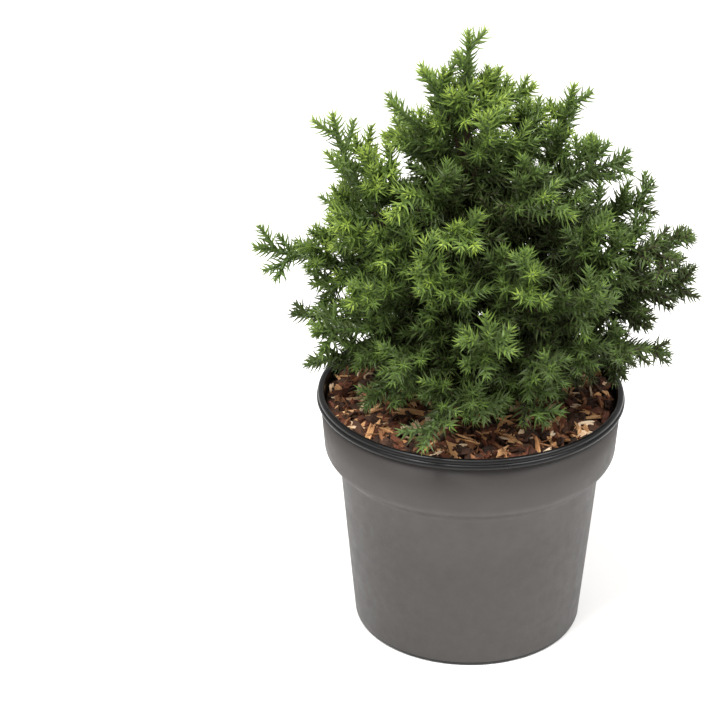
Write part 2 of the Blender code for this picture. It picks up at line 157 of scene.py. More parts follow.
def add_tint(material, share, dark, light):
    """Run a material's colour from a dark code to a light one as an output goes from 0 to 1."""
    inputs = {0: share, 6: linear(dark), 7: linear(light)}
    mix = add_node(material, "ShaderNodeMix", inputs, data_type="RGBA")
    drive(material, "Base Color", mix.outputs[2])


def add_relief(material, height, strength, depth):
    """Raise a material's surface where an output is high."""
    inputs = {"Height": height, "Strength": strength, "Distance": depth}
    drive(material, "Normal", add_node(material, "ShaderNodeBump", inputs).outputs["Normal"])


def new_piece(name, mesh, material):
    """A piece of this mesh in the scene, at the origin."""
    mesh.materials.append(material)
    made = bpy.data.objects.new(name, mesh)
    bpy.context.scene.collection.objects.link(made)
    return made


def arc(centre, radius, start, end, count):
    """Points along an arc in a profile, with angles in degrees up from the outward side."""
    angles = [math.radians(start + (end - start) * i / (count - 1)) for i in range(count)]
    return [(centre[0] + radius * math.cos(a), centre[1] + radius * math.sin(a)) for a in angles]


def turned(name, profile):
    """A closed mesh turned about Z from (radius, height) points that run up its outer side."""
    bm = bmesh.new()
    points = [bm.verts.new((radius, 0, height)) for radius, height in profile]
    edges = [bm.edges.new(pair) for pair in zip(points, points[1:])]
    bmesh.ops.spin(
        bm, geom=points + edges, axis=(0, 0, 1), steps=TURNING_STEPS, angle=math.tau, use_merge=True
    )
    bmesh.ops.remove_doubles(bm, verts=bm.verts, dist=0.001 * MM)
    bmesh.ops.recalc_face_normals(bm, faces=bm.faces)
    mesh = bpy.data.meshes.new(name)
    bm.to_mesh(mesh)
    bm.free()
    mesh.shade_smooth()
    return mesh


def body_outside():
    """The outer side of the pot below its lip, from the foot to the top of the collar."""
    step = COLLAR_BOTTOM_RADIUS - BODY_TOP_RADIUS
    profile = [(BASE_RADIUS, BASE_CORNER), (BODY_TOP_RADIUS, BODY_TOP_HEIGHT)]
    profile += arc((BODY_TOP_RADIUS, COLLAR_BOTTOM_HEIGHT), step, -60, 0, 12)
    profile.append((COLLAR_TOP_RADIUS, COLLAR_TOP_HEIGHT))
    return profile


pot_profile = [(0, 0), (BASE_RADIUS - BASE_CORNER, 0)]
pot_profile += arc((BASE_RADIUS - BASE_CORNER, BASE_CORNER), BASE_CORNER, -75, -15, 4)
pot_profile += body_outside()
pot_profile += arc(LOWER_BEAD[:2], LOWER_BEAD[2], -75, 52, 12)
pot_profile.append(BEAD_GROOVE)
pot_profile += arc(UPPER_BEAD[:2], UPPER_BEAD[2], -32, 178, 18)
pot_profile += [
    (COLLAR_TOP_RADIUS - WALL, COLLAR_TOP_HEIGHT),
    (COLLAR_BOTTOM_RADIUS - WALL, COLLAR_BOTTOM_HEIGHT + WALL),
    (BODY_TOP_RADIUS - WALL, BODY_TOP_HEIGHT + WALL),
    (BASE_RADIUS - WALL, WALL),
    (0, WALL),
]

# Injection-moulded polypropylene: a black that is glossy where the mould was polished, with the
# faint grain of the tool and a little dust and handling wear in its roughness.
GRAIN_SIZE = 0.9 * MM
HANDLING_SIZE = 22 * MM
GRAIN_DEPTH = 0.1 * MM
polypropylene, place = new_material("moulded_polypropylene", "#0a0909", 0.32, 1.33)
handling = add_noise(polypropylene, place, HANDLING_SIZE, Detail=5, Roughness=0.65)
drive(polypropylene, "Roughness", rescaled(polypropylene, handling, (0.35, 0.7), (0.24, 0.44)))
grain = add_noise(polypropylene, place, GRAIN_SIZE)
add_relief(polypropylene, grain, 0.12, GRAIN_DEPTH)

pot = new_piece("pot_moulding", turned("pot_moulding", pot_profile), polypropylene)
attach(pot, "root")
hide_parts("pot")


# The label is a thin grey film that was laid in the mould, so it wraps the body and the collar
# from the foot to just under the lip and lies flush on the plastic. It is plain all round.
LABEL_PROUD = 0.12 * MM
LABEL_DEPTH = 0.3 * MM
LABEL_TOP = COLLAR_TOP_HEIGHT + 0.2 * MM

film_path = body_outside()
film_path[-1] = (COLLAR_TOP_RADIUS, LABEL_TOP)
film_profile = [(radius + LABEL_PROUD, height) for radius, height in film_path]
film_profile += [(radius - LABEL_DEPTH, height) for radius, height in film_path[::-1]]
film_profile.append(film_profile[0])

# Printed polypropylene film: an even dark grey, satin, with the fine tooth of its ink, slight
# scuffs as from pots rubbing in the tray all over in its roughness, and a breath of dust as a slow change of
# its grey.
TOOTH_SIZE = 0.55 * MM
SCUFF_SIZE = 9 * MM
CLOUD_SIZE = 48 * MM
TOOTH_DEPTH = 0.08 * MM
film, place = new_material("printed_film", "#373534", 0.45, 1.52)
cloud = add_noise(film, place, CLOUD_SIZE, Detail=3)
add_tint(film, cloud, "#332f2d", "#3c3734")
scuffs = add_noise(film, place, SCUFF_SIZE, Detail=8, Roughness=0.7)
drive(film, "Roughness", rescaled(film, scuffs, (0.3, 0.75), (0.44, 0.6)))
tooth = add_noise(film, place, TOOTH_SIZE, Detail=3)
add_relief(film, tooth, 0.18, TOOTH_DEPTH)

label = new_piece("pot_film", turned("pot_film", film_profile), film)
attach(label, "root")


# The growing medium is peat and composted bark, pressed round the root ball. It keeps its own
# solid, and only its dark crumb under the mulch is drawn.
CRUMB_SIZE = 3 * MM
CRUMB_DEPTH = 1 * MM
compost, place = new_material("moist_compost", "#2a1d14", 0.9, 1.4)
cells = {"Vector": place, "Scale": 1 / CRUMB_SIZE, "Randomness": 1.0}
crumbs = add_node(compost, "ShaderNodeTexVoronoi", cells).outputs["Distance"]
add_tint(compost, crumbs, "#1c130d", "#3b291b")
add_relief(compost, crumbs, 0.8, CRUMB_DEPTH)
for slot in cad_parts["growing_medium"].material_slots:
    slot.material = compost


# The mulch is shredded conifer bark, raked level and a little lower at the wall. Its bed is dark
# fines, and the loose flakes, splinters and threads of bark and wood lie heaped on that.
MEDIUM_HEIGHT = 138 * MM
MULCH_CENTRE_HEIGHT = 149 * MM
MULCH_EDGE_HEIGHT = 146 * MM
BED_LUMP = 7 * MM
BED_ROUGHNESS = 2.2 * MM
BED_RINGS = 30
BED_CLEARANCE = 0.4 * MM
BED_BOTTOM_DRAFT = 0.8 * MM
bed_edge = COLLAR_TOP_RADIUS - WALL - BED_CLEARANCE


def bed_height(radius):
    """The level that the mulch was raked to at this distance from the trunk."""
    return MULCH_CENTRE_HEIGHT + (MULCH_EDGE_HEIGHT - MULCH_CENTRE_HEIGHT) * (radius / bed_edge) ** 2


bed_profile = [(0, MEDIUM_HEIGHT), (bed_edge - BED_BOTTOM_DRAFT, MEDIUM_HEIGHT)]
for ring in range(BED_RINGS + 1):
    radius = bed_edge * (1 - ring / BED_RINGS)
    bed_profile.append((radius, bed_height(radius) - BED_ROUGHNESS / 2))
bed = turned("mulch_bed", bed_profile)
for vertex in bed.vertices:
    if vertex.co.z > MEDIUM_HEIGHT + MM:
        lump = noise.fractal(vertex.co / BED_LUMP, 1.0, 2.0, 4)
        vertex.co.z += BED_ROUGHNESS * max(-1.0, min(1.0, lump))

# Fines of composted bark: nearly black, damp, all crumbs and short threads.
FINES_SIZE = 1.8 * MM
FINES_DEPTH = 1.2 * MM
fines, place = new_material("bark_fines", "#2b1a11", 0.85, 1.4)
crumbs = add_noise(fines, place, FINES_SIZE, Detail=6)
add_tint(fines, crumbs, "#120a07", "#4a2d1c")
add_relief(fines, crumbs, 1.0, FINES_DEPTH)

mulch_bed = new_piece("mulch_bed", bed, fines)
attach(mulch_bed, "root")
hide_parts("bark_mulch")

# Each kind of chip, with its count, length, width and thickness in millimetres, how far up in
# the heap it lies, its tilt in degrees, into how many strands it is split, how ragged, pointed
# and bowed it is, and the colours in and on its grain.
MULCH_SEED = 7
CHIP_SHAPES = 9
TRUNK_CLEARANCE = 13 * MM
WALL_CLEARANCE = 1.2 * MM
HEAP_SPREAD = 1.2 * MM
END_POWER = 2.2
END_THINS = 0.6
STRAND_WIDTH = 1.3
SHORTEST_STRAND = 0.55
STRAND_SLANT = 0.4
STRAND_SPLAY = 0.3
STRAND_RISE = 0.25
GRAIN_SHEET = 50
FIBRE_STRETCH = (1.6, 22, 1)
FIBRE_DEPTH = 0.5 * MM
CHIP_TONE_SIZE = 2.5
CHIP_TONE_WEIGHT = 0.9


class Chip(NamedTuple):
    """A kind of chip in the mulch, its sizes in millimetres."""

    name: str
    count: int
    length: tuple
    width: tuple
    thickness: float
    height: float
    tilt: float
    strands: int
    ragged: float
    pointed: float
    bow: float
    grain: tuple


CHIPS = [
    Chip("dark_bark", 700, (5, 14), (3, 7.5), 2.4, 0.2, 22, 1, 0.34, 0.5, 0.06, ("#1c100a", "#563724")),
    Chip("red_bark", 420, (5, 15), (2.6, 6.5), 1.9, 0.6, 24, 1, 0.34, 0.55, 0.08, ("#351a10", "#7d482f")),
    Chip("brown_bark", 200, (5, 15), (1.6, 4), 1.5, 0.9, 24, 2, 0.26, 0.7, 0.08, ("#4a2917", "#a36f4a")),
    Chip("tan_wood", 200, (6, 19), (1.8, 4.4), 1.3, 1.5, 22, 3, 0.16, 0.85, 0.08, ("#b17540", "#f0c08c")),
    Chip("pale_wood", 120, (5, 14), (1.4, 4.0), 1.3, 1.9, 22, 3, 0.16, 0.8, 0.08, ("#dcb184", "#ffe9c9")),
    Chip("bark_threads", 150, (6, 20), (0.6, 1.2), 0.7, 1.7, 18, 1, 0.1, 0.95, 0.12, ("#6f4629", "#b9855a")),
]


def chip_shape(rng, kind):
    """A chip of length and width 1 as points and faces: strands side by side, with thin ends."""
    points, faces = [], []
    for strand in range(kind.strands):
        bm = bmesh.new()
        bmesh.ops.create_cube(bm, size=1)
        long_edges = [e for e in bm.edges if abs(e.verts[0].co.x - e.verts[1].co.x) > 0.5]
        bmesh.ops.subdivide_edges(bm, edges=long_edges, cuts=4)
        if kind.strands == 1:
            wide_edges = [e for e in bm.edges if abs(e.verts[0].co.y - e.verts[1].co.y) > 0.5]
            bmesh.ops.subdivide_edges(bm, edges=wide_edges, cuts=1)
        bmesh.ops.triangulate(bm, faces=bm.faces)
        middle = (strand + 0.5) / kind.strands - 0.5
        width = STRAND_WIDTH / kind.strands if kind.strands > 1 else 1
        length = rng.uniform(SHORTEST_STRAND, 1) if strand else 1
        shift = rng.uniform(-0.5, 0.5) * (1 - length)
        slant = rng.uniform(-STRAND_SLANT, STRAND_SLANT) / kind.strands
        splay = rng.uniform(-STRAND_SPLAY, STRAND_SPLAY) if kind.strands > 1 else 0
        rise = rng.uniform(-STRAND_RISE, STRAND_RISE) if kind.strands > 1 else 0
        for vertex in bm.verts:
            x, y, z = vertex.co
            end = (2 * abs(x)) ** END_POWER
            drawn_in = 1 - kind.pointed * end * rng.uniform(0.55, 1)
            y *= drawn_in * (1 + kind.ragged * rng.uniform(-1, 1))
            z *= (1 - END_THINS * end) * (1 + kind.ragged * rng.uniform(-1, 1))
            x += slant * y + kind.ragged * 0.25 * rng.uniform(-1, 1)
            vertex.co = (x * length + shift, y * width + middle + splay * x, z + rise)
        bm.verts.index_update()
        faces += [[v.index + len(points) for v in f.verts] for f in bm.faces]
        points += [tuple(v.co) for v in bm.verts]
        bm.free()
    return np.array(points), np.array(faces)


def joined_mesh(name, corners, faces, grain_places=None):
    """One mesh of many copies: corners as (copies, points, 3), faces as (faces, 3) of one copy."""
    copies, points = corners.shape[:2]
    numbers = faces[None] + np.arange(copies)[:, None, None] * points
    mesh = bpy.data.meshes.new(name)
    mesh.from_pydata(corners.reshape(-1, 3), [], numbers.reshape(-1, 3))
    if grain_places is not None:
        layer = mesh.uv_layers.new(name="grain")
        layer.data.foreach_set("uv", grain_places[:, faces].astype(np.float32).ravel())
    return mesh


def joined_chips(kind, rng):
    """All chips of a kind, each of one of a few shapes, laid in the heap at its own turn."""
    corners, places = [], []
    shapes = [chip_shape(rng, kind) for _ in range(CHIP_SHAPES)]
    while len(corners) < kind.count:
        length = rng.uniform(*kind.length) * MM
        radius = math.sqrt(rng.uniform((TRUNK_CLEARANCE / bed_edge) ** 2, 1)) * bed_edge
        bearing, heading = rng.uniform(0, math.tau), rng.uniform(0, math.tau)
        middle = Vector((radius * math.cos(bearing), radius * math.sin(bearing), 0))
        along = Vector((math.cos(heading), math.sin(heading), 0)) * length / 2
        if max((middle + along).length, (middle - along).length) > bed_edge - WALL_CLEARANCE:
            continue
        points = shapes[len(corners) % CHIP_SHAPES][0].copy()
        width = rng.uniform(*kind.width) * MM
        points *= (length, width, kind.thickness * MM * rng.uniform(0.7, 1.3))
        bow = kind.bow * rng.uniform(-1, 1) * length
        share = points[:, 0] / length
        points[:, 1] += bow * (4 * share**2 - 1)
        points[:, 2] += abs(bow) * (1 - 4 * share**2) * rng.uniform(-0.3, 1.0)
        spin = Matrix.Rotation(heading, 3, "Z")
        spin @= Matrix.Rotation(math.radians(rng.gauss(0, kind.tilt)), 3, "Y")
        spin @= Matrix.Rotation(math.radians(rng.gauss(0, kind.tilt * 1.5)), 3, "X")
        laid_at = bed_height(radius) + kind.height * MM + rng.uniform(-HEAP_SPREAD, HEAP_SPREAD)
        corners.append(points @ np.array(spin).T + (middle.x, middle.y, laid_at))
        flat = shapes[len(places) % CHIP_SHAPES][0][:, :2] * (1.0, 0.4)
        places.append(flat + (rng.uniform(0, GRAIN_SHEET), rng.uniform(0, GRAIN_SHEET)))
    return joined_mesh(kind.name, np.array(corners), shapes[0][1], np.array(places))


def chip_material(kind):
    """Split bark or wood: fibres a few tenths of a millimetre wide run along each chip, darker
    between than on their backs, matt and dry, over a slow change of colour from chip to chip."""
    made, _ = new_material(kind.name, kind.grain[1], 0.8, 1.45)
    grain_place = add_node(made, "ShaderNodeUVMap", uv_map="grain").outputs["UV"]
    stretch = {"Vector": grain_place, "Scale": FIBRE_STRETCH}
    stretched = add_node(made, "ShaderNodeMapping", stretch).outputs["Vector"]
    fibres = add_noise(made, stretched, 1, Detail=4, Roughness=0.6)
    chip_to_chip = add_noise(made, grain_place, CHIP_TONE_SIZE)
    shares = {0: chip_to_chip, 1: CHIP_TONE_WEIGHT, 2: fibres}
    together = add_node(made, "ShaderNodeMath", shares, operation="MULTIPLY_ADD")
    add_tint(made, rescaled(made, together.outputs["Value"], (0.68, 1.2)), *kind.grain)
    add_relief(made, fibres, 0.9, FIBRE_DEPTH)
    return made


mulch_rng = random.Random(MULCH_SEED)
for kind in CHIPS:
    chips = new_piece(kind.name, joined_chips(kind, mulch_rng), chip_material(kind))
    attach(chips, "root")


# The trunk is a young stem of red-brown bark that peels in long fibrous strips. It leans a little
# to the left, bends softly once and flares in four lobes where the main roots leave it.
GAP = 0.3 * MM
TRUNK_FOOT = MULCH_CENTRE_HEIGHT + GAP
TRUNK_TOP = 305 * MM
TRUNK_RADIUS = 7.0 * MM
TRUNK_TOP_RADIUS = 2.0 * MM
TRUNK_LEAN = -4.5 * MM
TRUNK_SWAY = 2.5 * MM
FLARE_RADIUS = 4.5 * MM
FLARE_HEIGHT = 9 * MM
FLARE_LOBES = 4
FLARE_LOBE_SHARE = 0.16
TRUNK_SIDES = 48
TRUNK_LENGTHS = 84
STRIP_WIDTH = 1.6 * MM
STRIP_LENGTH = 14 * MM
STRIP_RELIEF = 0.5 * MM
FULL_RELIEF_RADIUS = 4 * MM


def trunk_point(height):
    """The trunk's axis at this height: a slight lean with one soft bend."""
    share = (height - TRUNK_FOOT) / (TRUNK_TOP - TRUNK_FOOT)
    return Vector((TRUNK_LEAN * share, TRUNK_SWAY * math.sin(math.pi * share), height))


def trunk_radius(height):
    """The trunk's radius: an even taper on top of the root flare."""
    share = (height - TRUNK_FOOT) / (TRUNK_TOP - TRUNK_FOOT)
    flare = FLARE_RADIUS * math.exp(-(height - TRUNK_FOOT) / FLARE_HEIGHT)
    return TRUNK_RADIUS + (TRUNK_TOP_RADIUS - TRUNK_RADIUS) * share + flare


def unit_tube(sides, lengths):
    """A closed tube of radius 1 from height 0 to 1, cut across into this many lengths."""
    bm = bmesh.new()
    upright = Matrix.Translation((0, 0, 0.5))
    bmesh.ops.create_cone(
        bm, cap_ends=True, segments=sides, radius1=1, radius2=1, depth=1, matrix=upright
    )
    for i in range(1, lengths):
        bmesh.ops.bisect_plane(
            bm,
            geom=bm.verts[:] + bm.edges[:] + bm.faces[:],
            plane_co=(0, 0, i / lengths),
            plane_no=(0, 0, 1),
            dist=1e-5,
        )
    bmesh.ops.triangulate(bm, faces=bm.faces)
    return bm


bm = unit_tube(TRUNK_SIDES, TRUNK_LENGTHS)
for vertex in bm.verts:
    height = TRUNK_FOOT + (TRUNK_TOP - TRUNK_FOOT) * vertex.co.z
    angle = math.atan2(vertex.co.y, vertex.co.x)
    fade = math.exp(-(height - TRUNK_FOOT) / FLARE_HEIGHT)
    radius = trunk_radius(height) * (1 + FLARE_LOBE_SHARE * fade * math.cos(FLARE_LOBES * angle))
    around = radius / STRIP_WIDTH
    strip = Vector((math.cos(angle) * around, math.sin(angle) * around, height / STRIP_LENGTH))
    radius += STRIP_RELIEF * noise.noise(strip) * min(1, radius / FULL_RELIEF_RADIUS)
    vertex.co = trunk_point(height) + Vector((math.cos(angle), math.sin(angle), 0)) * radius
trunk_mesh = bpy.data.meshes.new("trunk_bark")
bm.to_mesh(trunk_mesh)
bm.free()
trunk_mesh.shade_smooth()

# Cedar bark: soft red-brown fibres in strips, greyer on their backs and dark in the cracks.
FIBRE_WIDTH = 0.5 * MM
CRACK_DEPTH = 0.4 * MM
bark, place = new_material("cedar_bark", "#5c3724", 0.85, 1.4)
stretch = {"Vector": place, "Scale": (1, 1, STRIP_WIDTH / STRIP_LENGTH)}
stretched = add_node(bark, "ShaderNodeMapping", stretch).outputs["Vector"]
fibres = add_noise(bark, stretched, 2 * FIBRE_WIDTH, Detail=5, Roughness=0.6)
add_tint(bark, rescaled(bark, fibres, (0.32, 0.66)), "#1c1410", "#4c3829")
add_relief(bark, fibres, 0.9, CRACK_DEPTH)

trunk = new_piece("trunk_bark", trunk_mesh, bark)
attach(trunk, "root")
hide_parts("trunk")


# The limbs leave the trunk all round and taper out to their tips. Their inner part is bare wood
# under bark and makes the boughs. Each limb is a root on the trunk, an elbow and a tip.
UP = Vector((0, 0, 1))
ROOT_DEPTH = 0.5
BOUGH_RADIUS = 2.5 * MM
SHORT_BOUGH_SHARE = 0.8
BOUGH_SIDES = 12
BOUGH_LENGTHS = 28
BOUGH_SHARE = 0.31
WOOD_SHARE = 0.56
WOOD_END_RADIUS = 1.1 * MM
RIDGES_AROUND = 1.6
RIDGE_SHARE = 0.14
PATH_STEPS = 24
HABITS = {
    "upright": (0.80, 0.26, 0),
    "spreading": (0.50, 0.62, 0),
    "arching": (0.36, 0.70, 0),
    "weeping": (0.55, 0.50, 20 * MM),
}


class Limb(NamedTuple):
    """A limb's root on the trunk and its tip, with heights and reach in millimetres."""

    name: str
    root_height: float
    root_bearing: float
    tip_bearing: float
    reach: float
    tip_height: float
    habit: str
    has_bough: bool


LIMBS = [
    Limb("top_left", 294, 176, 178, 32, 357, "arching", False),
    Limb("top_right", 284, 30, 35, 27, 339, "arching", False),
    Limb("front_crown", 272, 290, 285, 34, 330, "arching", False),
    Limb("upper_left", 266, 185, 191, 51, 341, "arching", False),
    Limb("back_crown", 262, 95, 95, 44, 327, "arching", False),
    Limb("front_upper_left", 253, 238, 232, 62, 301, "arching", False),
    Limb("back_upper_left", 252, 125, 126, 72, 304, "arching", False),
    Limb("front_upper_right", 249, 312, 316, 64, 298, "arching", False),
    Limb("left_arch", 246, 158, 166, 73, 309, "upright", False),
    Limb("back_upper_right", 244, 58, 52, 72, 315, "arching", False),
    Limb("right_upper", 240, 345, 352, 90, 310, "arching", True),
    Limb("front_high", 238, 272, 268, 66, 286, "arching", False),
    Limb("right_tall", 232, 25, 13, 58, 345, "upright", True),
    Limb("left_tall", 226, 200, 190, 83, 336, "upright", True),
    Limb("back_mid", 228, 92, 90, 104, 267, "spreading", True),
    Limb("right_arm_high", 222, 2, 5, 105, 276, "spreading", True),
    Limb("front_mid", 220, 255, 252, 82, 260, "spreading", False),
    Limb("back_left", 217, 140, 140, 112, 246, "spreading", True),
    Limb("front_mid_right", 214, 293, 294, 84, 256, "spreading", False),
    Limb("back_right", 211, 42, 42, 114, 243, "spreading", True),
    Limb("right_arm", 208, 346, 352, 127, 264, "spreading", True),
    Limb("front_left", 208, 222, 221, 94, 246, "spreading", True),
    Limb("left_reach", 204, 178, 176, 131, 241, "arching", True),
    Limb("front_right", 199, 318, 320, 98, 238, "spreading", True),
    Limb("front_low", 195, 275, 275, 88, 217, "spreading", False),
    Limb("back_low", 194, 90, 92, 116, 212, "spreading", True),
    Limb("front_left_low", 192, 205, 207, 103, 212, "spreading", False),
    Limb("right_reach", 190, 0, 359, 130, 230, "spreading", True),
    Limb("front_left_mid", 186, 242, 240, 88, 208, "spreading", False),
    Limb("front_right_mid", 184, 300, 303, 90, 203, "spreading", False),
    Limb("left_low", 182, 172, 176, 109, 198, "spreading", True),
    Limb("right_mid", 181, 20, 8, 127, 212, "spreading", False),
    Limb("front_right_low", 179, 330, 332, 106, 205, "spreading", False),
    Limb("back_right_low", 178, 50, 52, 112, 188, "weeping", False),
    Limb("back_left_low", 177, 135, 136, 112, 190, "weeping", False),
    Limb("right_low", 172, 352, 352, 119, 187, "weeping", True),
    Limb("skirt_left", 172, 224, 224, 86, 170, "weeping", False),
    Limb("skirt_front", 168, 262, 256, 112, 170, "weeping", False),
    Limb("left_skirt", 166, 188, 187, 100, 173, "weeping", False),
    Limb("skirt_right", 166, 300, 300, 88, 170, "weeping", False),
]
LEADER = Limb("leader", 305, 134, 134, 7, 380, "arching", False)


class Path:
    """A quadratic curve from a root over an elbow to a tip, read by distance along it."""

    def __init__(self, root, elbow, tip):
        self.root, self.elbow, self.tip = (np.array(p, float) for p in (root, elbow, tip))
        self.shares = np.linspace(0, 1, PATH_STEPS + 1)
        steps = np.diff(self.places(self.shares), axis=0)
        self.distances = np.concatenate(([0], np.cumsum(np.linalg.norm(steps, axis=1))))
        self.length = float(self.distances[-1])
        across = np.cross(self.elbow - self.root, self.tip - self.elbow)
        if np.linalg.norm(across) < 1e-9:
            across = np.array(Vector(self.elbow - self.root).orthogonal())
        self.side = across / np.linalg.norm(across)

    def places(self, shares):
        """The points at these shares of the curve."""
        s = np.asarray(shares)[:, None]
        return self.root * (1 - s) ** 2 + self.elbow * 2 * s * (1 - s) + self.tip * s**2

    def at(self, distances):
        """The points at these distances and the ways the path heads there."""
        shares = np.interp(distances, self.distances, self.shares)
        s = shares[:, None]
        headings = (self.elbow - self.root) * (1 - s) + (self.tip - self.elbow) * s
        headings /= np.linalg.norm(headings, axis=1)[:, None]
        return self.places(shares), headings

    def balls(self, begin, end, spacing):
        """Points close together along part of the path."""
        count = max(1, math.ceil((end - begin) / spacing))
        return self.at(np.linspace(begin, end, count + 1))[0]

    def wrap(self, template, begin, end, radius, end_radius):
        """The points of a unit tube, bent along part of the path and tapered."""
        shares = template[:, 2]
        centres, headings = self.at(begin + (end - begin) * shares)
        across = np.cross(headings, self.side)
        spokes = template[:, :1] * self.side + template[:, 1:2] * across
        return centres + spokes * (radius + (end_radius - radius) * shares)[:, None]


def outward(bearing):
    """The level direction of a bearing in degrees."""
    return Vector((math.cos(math.radians(bearing)), math.sin(math.radians(bearing)), 0))


def limb_path(limb):
    """A limb's path, from inside the trunk over its elbow to its tip."""
    axis = trunk_point(limb.root_height * MM)
    root = axis + outward(limb.root_bearing) * ROOT_DEPTH * trunk_radius(axis.z)
    tip = outward(limb.tip_bearing) * limb.reach * MM + UP * limb.tip_height * MM
    share_out, share_up, lift = HABITS[limb.habit]
    elbow = axis + outward(limb.root_bearing) * share_out * limb.reach * MM
    elbow.z = root.z + (tip.z - root.z) * share_up + lift
    return Path(root, elbow, tip)


def leader_path():
    """The leader's path, up from the trunk's top."""
    root = trunk_point(TRUNK_TOP) + UP * GAP
    tip = outward(LEADER.tip_bearing) * LEADER.reach * MM + UP * LEADER.tip_height * MM
    return Path(root, root + UP * (tip.z - root.z) / 2, tip)


def template_of(bm):
    """The points and the faces of a working mesh as arrays."""
    bm.verts.index_update()
    points = np.array([v.co for v in bm.verts])
    faces = np.array([[v.index for v in f.verts] for f in bm.faces])
    bm.free()
    return points, faces


limbs = [LEADER, *LIMBS]
stems = [leader_path()] + [limb_path(limb) for limb in LIMBS]

bough_points, bough_faces = template_of(unit_tube(BOUGH_SIDES, BOUGH_LENGTHS))
wood = []
for limb, stem in zip(limbs, stems):
    wood_length = stem.length * WOOD_SHARE
    thick = BOUGH_RADIUS if limb.has_bough else BOUGH_RADIUS * SHORT_BOUGH_SHARE
    tube = stem.wrap(bough_points, 0, wood_length, thick, WOOD_END_RADIUS)
    for i, (x, y, share) in enumerate(bough_points):
        along = share * wood_length / (STRIP_LENGTH / 2)
        strip = Vector((x * RIDGES_AROUND, y * RIDGES_AROUND, along))
        push = RIDGE_SHARE * noise.noise(strip + Vector((0, 0, limb.root_height)))
        centre = stem.at(np.array([share * wood_length]))[0][0]
        tube[i] += (tube[i] - centre) * push
    wood.append(tube)
bough_mesh = joined_mesh("bough_bark", np.array(wood), bough_faces)
bough_mesh.shade_smooth()
boughs = new_piece("bough_bark", bough_mesh, bark)
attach(boughs, "root")
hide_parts(*["bough_" + limb.name for limb in limbs if limb.has_bough])


# The shoots grow on from the limbs. Side shoots turn about their limb by the golden angle, the
# longest low down, and only where there is room. Finer twigs fill in between by the same rule.
SEED = 41
GOLDEN_ANGLE = math.radians(137.5)
SEGMENT = 10 * MM
SPRAY_RADIUS = 8.2 * MM
STEM_ROOM = 2.5 * MM
BALL_SPACING = 3.5 * MM
FIRST_SHOOT = 0.16
LAST_SHOOT = 0.86
SHOOT_SPACING = 10.4 * MM
SHOOT_LENGTH = 42 * MM
SHOOT_SHARE = 0.42
SHOOT_SHORTEN = 0.64
SHOOT_VARIES = 0.12
SHOOT_ANGLE = math.radians(54)
SHOOT_TURNS_IN = 0.45
SHOOT_LIFTS = 0.30
TRIES = 5
TRY_TURN = math.radians(50)
TRY_SHORTEN = 0.90
MULCH_ROUGHNESS = 2.4 * MM
BARE_ROOT = 9 * MM
LIMB_STEM_RADIUS = 1.3 * MM
SIDE_BARE_ROOT = 1.5 * MM
SIDE_STEM_RADIUS = 1.0 * MM
TRUNK_OWNER = -1


def clears_pot(points, radius):
    """Whether each ball here is above the mulch and the lip, or outside the pot."""
    from_axis = np.hypot(points[:, 0], points[:, 1])
    low = np.where(
        from_axis + radius > COLLAR_TOP_RADIUS - WALL,
        POT_HEIGHT + GAP,
        MULCH_CENTRE_HEIGHT + MULCH_ROUGHNESS,
    )
    return bool(np.all((from_axis - radius > LIP_RADIUS + GAP) | (points[:, 2] - radius > low)))


class Room:
    """The room that wood and shoots have taken, as balls along them with their owners."""

    def __init__(self):
        self.centres, self.radii, self.owners = np.empty((0, 3)), np.empty(0), np.empty(0, int)
        for height in np.arange(TRUNK_FOOT, TRUNK_TOP, BALL_SPACING):
            self.take(TRUNK_OWNER, [tuple(trunk_point(height))], trunk_radius(height))

    def take(self, owner, points, radius):
        """Take the room of a ball of this radius round each point."""
        self.centres = np.vstack((self.centres, points))
        self.radii = np.append(self.radii, np.full(len(points), radius))
        self.owners = np.append(self.owners, np.full(len(points), owner))

    def is_free(self, owners, points, radius):
        """Whether balls here stay clear of the pot and of every ball that isn't these owners'."""
        if not clears_pot(points, radius):
            return False
        reach = self.radii + radius + GAP
        farthest = 2 * SPRAY_RADIUS + GAP
        low, high = points.min(0) - farthest, points.max(0) + farthest
        near = np.all((self.centres > low) & (self.centres < high), axis=1)
        near &= ~np.isin(self.owners, owners)
        apart = np.linalg.norm(self.centres[near][None] - points[:, None], axis=2)
        return bool(np.all(apart > reach[near]))


def side_shoot_path(stem, place, turn_angle, length, angle=SHOOT_ANGLE, lifts=SHOOT_LIFTS):
    """A side shoot's path: out from the stem at an angle, then in towards its heading and up."""
    points, headings = stem.at(np.array([place]))
    root, heading = Vector(points[0]), Vector(headings[0])
    across = heading.orthogonal().normalized()
    across.rotate(Quaternion(heading, turn_angle))
    start = heading * math.cos(angle) + across * math.sin(angle)
    end = (start + heading * SHOOT_TURNS_IN + UP * lifts).normalized()
    elbow = root + start * (length / 2)
    return Path(root, elbow, elbow + end * (length / 2))


class Shoot(NamedTuple):
    """A shoot's path, where its needles begin, and its radius at the root."""

    path: Path
    begin: float
    radius: float


